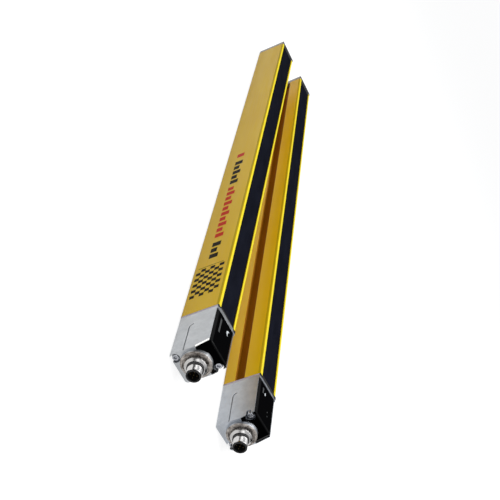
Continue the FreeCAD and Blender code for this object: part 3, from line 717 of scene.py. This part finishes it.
# painted shade: black pads in the shaded corner gaps, and a strip where the tongue lies in shade
for bar, width in SHADE_STRIP_WIDTHS.items():
    for side, name in ((-1, "corner_pad_left"), (1, "corner_pad_right")):
        outer = side * (HALF - PAD_INSET)
        pad = rectangle(outer, outer - side * PAD_WIDTH, pad_start, pad_start + PAD_LENGTH)
        make_piece(bar, name, plate(pad, MARK_TOP, MARK_DEPTH), [finish["seal"]])
    strip = rectangle(-STRIP_REACH, STRIP_REACH, strip_end - width, strip_end)
    make_piece(bar, "window_foot_shade_strip", plate(strip, MARK_TOP, MARK_DEPTH),
               [finish["seal"]])
print("four corner pads and two strips")

# %% [markdown]
# ## The round connectors
#
# Everything in the connector turns about one axis, so each piece is a profile spun round it.
# The thread is the exception: it is a helix. It is made as a grid of points wrapped into a
# tube, where the radius dips with the distance from the ridge line, and the ridge line moves
# along by one pitch for each turn. The dip fades out towards both ends, as a rolled thread
# does. Inside stands the black insert: its collar closes the mouth of the sleeve and its
# liner hides the bore, so the end reads as one black disc.

# %% Helper: a spun profile
SPIN_STEPS = 48


def spun(profile, steps=SPIN_STEPS, wave=None):
    """Closed body of revolution about the connector's axis; profile is (y, radius) points.

    With a wave, the radius of each point also depends on its angle: wave(y, radius, turn)."""
    work = bmesh.new()
    rings = []
    for y, radius in profile:
        if radius == 0:
            rings.append([work.verts.new((0, y, CONNECTOR_Z))])
            continue
        ring = []
        for k in range(steps):
            turn = 2 * math.pi * k / steps
            reach = wave(y, radius, turn) if wave else radius
            ring.append(work.verts.new((reach * math.cos(turn), y,
                                        CONNECTOR_Z + reach * math.sin(turn))))
        rings.append(ring)
    closed = profile[0][1] > 0
    pairs = list(zip(rings, rings[1:]))
    if closed:
        pairs.append((rings[-1], rings[0]))
    for first, second in pairs:
        for k in range(steps):
            corners = [first[k % len(first)], first[(k + 1) % len(first)],
                       second[(k + 1) % len(second)], second[k % len(second)]]
            face = list(dict.fromkeys(corners))
            if len(face) > 2:
                work.faces.new(face)
    bmesh.ops.recalc_face_normals(work, faces=work.faces)
    return work


def add_copy(whole, one):
    """Adds one mesh to another and frees it."""
    loose = bpy.data.meshes.new("loose")
    one.to_mesh(loose)
    one.free()
    whole.from_mesh(loose)
    bpy.data.meshes.remove(loose)


print("spun bodies take", SPIN_STEPS, "steps round unless more are asked for")

# %% Sleeve, insert, contacts and seal ring
SLEEVE_RADIUS, SLEEVE_BORE, SLEEVE_NECK = 6.0, 5.0, 5.6
SHOULDER = -8.9             # behind it the sleeve is slimmer and passes through the hub
SLEEVE_TAIL, INSERT_TAIL = 7.0, 9.0
COLLAR = 0.7
MOUTH = -SLEEVE_REACH
THREAD_PITCH, THREAD_DEPTH = 1.0, 0.5
THREAD_START, THREAD_END = MOUTH + 1.3, SHOULDER - 0.9
SOCKET_FLOOR = MOUTH + 8.5
CONTACT_TIP, CONTACT_RADIUS, CONTACT_CIRCLE = MOUTH + 1.5, 0.5, 2.75


def threaded(y, radius, turn):
    if radius < SLEEVE_RADIUS:
        return radius
    phase = (y / THREAD_PITCH - turn / (2 * math.pi)) % 1.0
    dip = abs(2 * phase - 1)
    fade = min(1, max(0, (y - THREAD_START) / 0.4), max(0, (THREAD_END - y) / 0.4))
    return radius - THREAD_DEPTH * fade * dip


def sleeve_profile():
    front = MOUTH + COLLAR
    rows = round((SHOULDER - front) / (THREAD_PITCH / 8))
    outside = [(front + (SHOULDER - front) * k / rows, SLEEVE_RADIUS) for k in range(rows + 1)]
    return ([(SLEEVE_TAIL, SLEEVE_BORE), (front, SLEEVE_BORE),
             (front, SLEEVE_RADIUS - 0.1)] + outside
            + [(SHOULDER, SLEEVE_NECK), (SLEEVE_TAIL, SLEEVE_NECK)])


INSERT_PROFILE = [(INSERT_TAIL, 0), (INSERT_TAIL, 4.95), (MOUTH + COLLAR, 4.95),
                  (MOUTH + COLLAR, 5.85), (MOUTH + 0.25, 5.85), (MOUTH, 5.6), (MOUTH, 4.7),
                  (MOUTH + 0.3, 4.5), (SOCKET_FLOOR, 4.5), (SOCKET_FLOOR, 0)]
RING_MIDDLE, RING_CORD = 6.22, 0.62
RING_PLACE = SHOULDER + 0.65


def ring_profile(steps=12):
    turns = [2 * math.pi * k / steps for k in range(steps)]
    return [(RING_PLACE + RING_CORD * math.sin(a), RING_MIDDLE + RING_CORD * math.cos(a))
            for a in turns]


def contact_profile():
    ball = [math.pi / 2 * k / 4 for k in range(5)]
    tip = [(CONTACT_TIP + CONTACT_RADIUS * (1 - math.sin(a)), CONTACT_RADIUS * math.cos(a))
           for a in ball]
    return [(SOCKET_FLOOR, 0), (SOCKET_FLOOR, CONTACT_RADIUS)] + tip[:-1] + [(CONTACT_TIP, 0)]


def contacts():
    """Four contacts on a circle and one in the middle, as one mesh."""
    whole = bmesh.new()
    places = [(0, 0)]
    for k in range(4):
        turn = math.pi / 2 * (k + 0.5)
        places.append((CONTACT_CIRCLE * math.sin(turn), -CONTACT_CIRCLE * math.cos(turn)))
    for x, z in places:
        one = spun(contact_profile(), 14)
        bmesh.ops.translate(one, vec=(x, 0, z), verts=one.verts)
        add_copy(whole, one)
    return whole


for bar in BARS:
    sleeve = make_piece(bar, "sleeve_threaded", spun(sleeve_profile(), 64, threaded),
                        [finish["nickel_sleeve"]], node="connector_sleeve")
    shade(sleeve, 40)
    insert = make_piece(bar, "insert_finished", spun(INSERT_PROFILE), [finish["black_insert"]],
                        node="connector_insert")
    shade(insert)
    ring = make_piece(bar, "seal_ring", spun(ring_profile()), [finish["oring_rubber"]],
                      node="connector_oring")
    shade(ring, 60)
    pins = make_piece(bar, "contacts_finished", contacts(), [finish["gold_contact"]],
                      node="contact_pins")
    shade(pins, 40)
    print(bar, "connector: sleeve of", len(sleeve.data.polygons), "faces")


# %% [markdown]
# ## The screws
#
# Plated cylinder-head screws with a hexagon socket hold both ends. The head is turned with a
# small chamfer and knurled round its side; the socket is a six-sided hole with a conical floor.
# Both come from one spun profile, in which the radius follows a regular polygon or a knurl
# where it belongs.

# %% Screws
HEAD_RADIUS, HEAD_HEIGHT, SHANK_RADIUS = 2.75, 2.8, 1.5
SOCKET_FLATS, SOCKET_DEPTH = 1.3, 1.5       # half across the flats
KNURLS, KNURL_DEPTH = 30, 0.07
SCREW_STEPS = 60
UPPER_SCREW = (HALF - 3.4, DEPTH - 6.0)     # x on the slot's side of the bar, z
LOWER_SCREW = (HALF - 5.0, 3.2)             # x on the other side, z
SCREW_HOLD = 9.0            # how far the screws reach into the housing


def screw_shape(y, radius, turn):
    if abs(radius - SOCKET_FLATS) < 0.001:
        across = (turn % (math.pi / 3)) - math.pi / 6
        return radius / math.cos(across)
    if radius == HEAD_RADIUS:
        return radius - KNURL_DEPTH * (0.5 + 0.5 * math.cos(KNURLS * turn))
    return radius


def screw(length):
    """A screw along +y with its head's face at y = 0."""
    profile = [(SOCKET_DEPTH + 0.5, 0), (SOCKET_DEPTH, SOCKET_FLATS), (0.12, SOCKET_FLATS),
               (0, SOCKET_FLATS + 0.3), (0, HEAD_RADIUS - 0.35), (0.3, HEAD_RADIUS - 0.06),
               (0.45, HEAD_RADIUS), (HEAD_HEIGHT - 0.1, HEAD_RADIUS),
               (HEAD_HEIGHT, HEAD_RADIUS - 0.1), (HEAD_HEIGHT, SHANK_RADIUS),
               (HEAD_HEIGHT + length - 0.5, SHANK_RADIUS), (HEAD_HEIGHT + length, 1.0),
               (HEAD_HEIGHT + length, 0)]
    return spun(profile, SCREW_STEPS, screw_shape)


def screw_pair(bar, node, faces, lengths, outwards):
    """Both screws of one end as one piece; faces are where their heads end along the bar."""
    side = BARS[bar]
    places = [(side * UPPER_SCREW[0], UPPER_SCREW[1]), (-side * LOWER_SCREW[0], LOWER_SCREW[1])]
    whole = bmesh.new()
    for (x, z), face, length in zip(places, faces, lengths):
        one = screw(length)
        flip = Matrix.Rotation(math.pi, 4, "Z") if outwards > 0 else Matrix.Identity(4)
        place = Matrix.Translation((x, face, z)) @ flip
        one.transform(place @ Matrix.Translation((0, 0, -CONNECTOR_Z)))
        add_copy(whole, one)
    shade(make_piece(bar, node + "_finished", whole, [finish["steel_screw"]], node=node))


FRONT_SEAT, BACK_SEAT = 6.2, 3.6            # depth of the seats at the connector end
near_tip = housing_low.y + SCREW_HOLD
far_seat = local_box("receiver", "end_cap_screws")[1].y - HEAD_HEIGHT
far_length = far_seat - local_box("receiver", "end_cap_screws")[0].y
for bar in BARS:
    screw_pair(bar, "connection_cap_screws", (FRONT_SEAT - HEAD_HEIGHT, BACK_SEAT - HEAD_HEIGHT),
               (near_tip - FRONT_SEAT, near_tip - BACK_SEAT), -1)
    screw_pair(bar, "end_cap_screws", (far_seat + HEAD_HEIGHT,) * 2, (far_length,) * 2, 1)
print("eight screws with sockets")

# %% [markdown]
# ## Marks on the side
#
# The receiver's smooth side carries plain printed marks only: a row of bars, black and red,
# and a square checker that a fitter can aim a level at. Each bar is a thin plate sunk into the
# side, which was drawn in by a few hundredths, so only the face of the ink shows.

# %% Side marks
SIDE_TOP = HALF - 0.006     # outer face of the ink
INK_PLATE = 0.2


def ink_blocks(blocks):
    """Plates on the smooth side; each block is (y from, y to, z from, z to)."""
    work = bmesh.new()
    for y0, y1, z0, z1 in blocks:
        middle = Vector((-SIDE_TOP + INK_PLATE / 2, (y0 + y1) / 2, (z0 + z1) / 2))
        size = Matrix.Diagonal((INK_PLATE, y1 - y0, z1 - z0, 1))
        bmesh.ops.create_cube(work, size=1, matrix=Matrix.Translation(middle) @ size)
    return work


def bar_row(start, end, low, high, count, share):
    """A row of count bars of alternating height between start and end."""
    pitch = (end - start) / count
    blocks = []
    for k in range(count):
        top = high if k % 2 == 0 else low + 0.72 * (high - low)
        blocks.append((start + k * pitch, start + (k + share) * pitch, low, top))
    return blocks


def checker(start, low, cell, columns, rows):
    return [(start + i * cell, start + (i + 1) * cell, low + j * cell, low + (j + 1) * cell)
            for i in range(columns) for j in range(rows) if (i + j) % 2 == 0]


black_ink = make_black_plastic("black_ink", (0.012, 0.008, 0.001), 0.5, ior=1.12)
red_ink = make_black_plastic("red_ink", (0.80, 0.045, 0.008), 0.45, ior=1.15)
CHECKER_CELL = 4.4
ROW_LOW, ROW_HIGH = 12.5, 21
PRINTS = {
    "aim_checker": (checker(72.5, 4.0, CHECKER_CELL, 10, 6), black_ink),
    "fine_line": ([(118.4, 119.0, 5.0, 29.0)], black_ink),
    "first_row": (bar_row(131, 161, ROW_LOW, ROW_HIGH, 3, 0.72), black_ink),
    "red_row": (bar_row(167, 268, ROW_LOW, ROW_HIGH, 10, 0.7), red_ink),
    "second_row": (bar_row(272, 325, ROW_LOW, ROW_HIGH, 5, 0.72), black_ink),
    "end_mark": ([(332, 340, ROW_LOW, 20.5)], red_ink)}
for name, (blocks, ink) in PRINTS.items():
    make_piece("receiver", name, ink_blocks(blocks), [ink])
print(sum(len(blocks) for blocks, ink in PRINTS.values()), "printed blocks")

# %% [markdown]
# ## The floor
#
# The bars lie on a pale studio floor. Seen straight, and in mirrors and glass, it is plain
# white; for every other ray it is pale grey card that sends soft light back up to the sides.

# %% Floor
FLOOR_HALF = 60.0
FLOOR_DROP = 0.0002
FLOOR_GREY = 0.32           # what the floor sends back up as soft light
FLOOR_GLOW = 0.80           # what the eye and mirrors see besides


def make_floor():
    material = bpy.data.materials.new("studio_floor")
    material.use_nodes = True
    tree = material.node_tree
    shader = tree.nodes["Principled BSDF"]
    shader.inputs["Base Color"].default_value = (*[FLOOR_GREY] * 3, 1)
    shader.inputs["Roughness"].default_value = 0.9
    shader.inputs["Specular IOR Level"].default_value = 0.0
    seen = tree.nodes.new("ShaderNodeLightPath")
    straight = tree.nodes.new("ShaderNodeMath")
    straight.operation = "MAXIMUM"
    either = tree.nodes.new("ShaderNodeMath")
    either.operation = "MAXIMUM"
    tree.links.new(seen.outputs["Is Camera Ray"], straight.inputs[0])
    tree.links.new(seen.outputs["Is Glossy Ray"], straight.inputs[1])
    tree.links.new(straight.outputs[0], either.inputs[0])
    tree.links.new(seen.outputs["Is Transmission Ray"], either.inputs[1])
    glow = tree.nodes.new("ShaderNodeEmission")
    glow.inputs["Strength"].default_value = FLOOR_GLOW
    dark = tree.nodes.new("ShaderNodeEmission")
    dark.inputs["Strength"].default_value = 0.0
    choose = tree.nodes.new("ShaderNodeMixShader")
    tree.links.new(either.outputs[0], choose.inputs["Fac"])
    tree.links.new(dark.outputs[0], choose.inputs[1])
    tree.links.new(glow.outputs[0], choose.inputs[2])
    both = tree.nodes.new("ShaderNodeAddShader")
    tree.links.new(shader.outputs[0], both.inputs[0])
    tree.links.new(choose.outputs[0], both.inputs[1])
    tree.links.new(both.outputs[0], tree.nodes["Material Output"].inputs["Surface"])
    mesh = bpy.data.meshes.new("floor")
    reach = FLOOR_HALF
    corners = [(-reach, -reach, 0), (reach, -reach, 0), (reach, reach, 0), (-reach, reach, 0)]
    mesh.from_pydata(corners, [], [(0, 1, 2, 3)])
    mesh.materials.append(material)
    floor = bpy.data.objects.new("floor", mesh)
    floor.location.z = -FLOOR_DROP
    bpy.context.scene.collection.objects.link(floor)


make_floor()
print("floor laid")

# %% [markdown]
# ## Light
#
# One large soft lamp hangs above the bars, a weaker one fills from the connector side. The
# room itself is dark near the horizon and brighter overhead, so black gloss stays black when
# it is seen at a low angle.

# %% Lamps and room
def add_lamp(name, place, aim, size, watts):
    data = bpy.data.lights.new(name, "AREA")
    data.shape = "RECTANGLE"
    data.size, data.size_y = size
    data.energy = watts
    lamp = bpy.data.objects.new(name, data)
    lamp.location = place
    lamp.rotation_euler = (Vector(aim) - Vector(place)).to_track_quat("-Z", "Y").to_euler()
    bpy.context.scene.collection.objects.link(lamp)


add_lamp("overhead_lamp", (0.1, 0.0, 1.7), (0, 0, 0), (1.6, 1.6), 24)
add_lamp("front_fill", (-0.9, -1.7, 0.9), (0, -0.2, 0), (1.2, 0.8), 6)


ROOM_STEPS = [(0.41, (0.010, 0.010, 0.011)), (0.52, (0.50, 0.51, 0.52)),
              (0.8, (0.75, 0.76, 0.78))]         # how high up, and the colour there


def make_room():
    world = bpy.data.worlds.new("room")
    world.use_nodes = True
    tree = world.node_tree
    background = tree.nodes["Background"]
    place = tree.nodes.new("ShaderNodeTexCoord")
    split = tree.nodes.new("ShaderNodeSeparateXYZ")
    ramp = tree.nodes.new("ShaderNodeValToRGB")
    steps = ramp.color_ramp.elements
    steps.new(ROOM_STEPS[-1][0])
    for step, (height, colour) in zip(steps, ROOM_STEPS):
        step.position = height
        step.color = (*colour, 1)
    tree.links.new(place.outputs["Generated"], split.inputs[0])
    tree.links.new(split.outputs["Z"], ramp.inputs["Fac"])
    tree.links.new(ramp.outputs["Color"], background.inputs["Color"])
    background.inputs["Strength"].default_value = 1.0
    bpy.context.scene.world = world


make_room()

# %% [markdown]
# ## Camera
#
# The camera stands low at the connector end, a metre away, and is turned on its side so that
# the bars run up the picture.

# %% Camera
CAMERA_PLACE = Vector((-0.4061, -0.9278, 0.3158))
CAMERA_AIM = Vector((0.0199, -0.0581, 0.0))
CAMERA_ROLL = math.radians(69.906)
LENS = 72.83

camera_data = bpy.data.cameras.new("camera")
camera_data.lens = LENS
camera_data.sensor_width = 36
camera_data.clip_start = 0.01
camera_data.clip_end = 500
camera = bpy.data.objects.new("camera", camera_data)
aim = (CAMERA_AIM - CAMERA_PLACE).to_track_quat("-Z", "Y").to_matrix().to_4x4()
camera.matrix_world = (Matrix.Translation(CAMERA_PLACE) @ aim
                       @ Matrix.Rotation(CAMERA_ROLL, 4, "Z"))
bpy.context.scene.collection.objects.link(camera)
bpy.context.scene.camera = camera
bpy.context.scene.view_settings.view_transform = "Standard"
print("camera at", [round(v, 3) for v in camera.location])
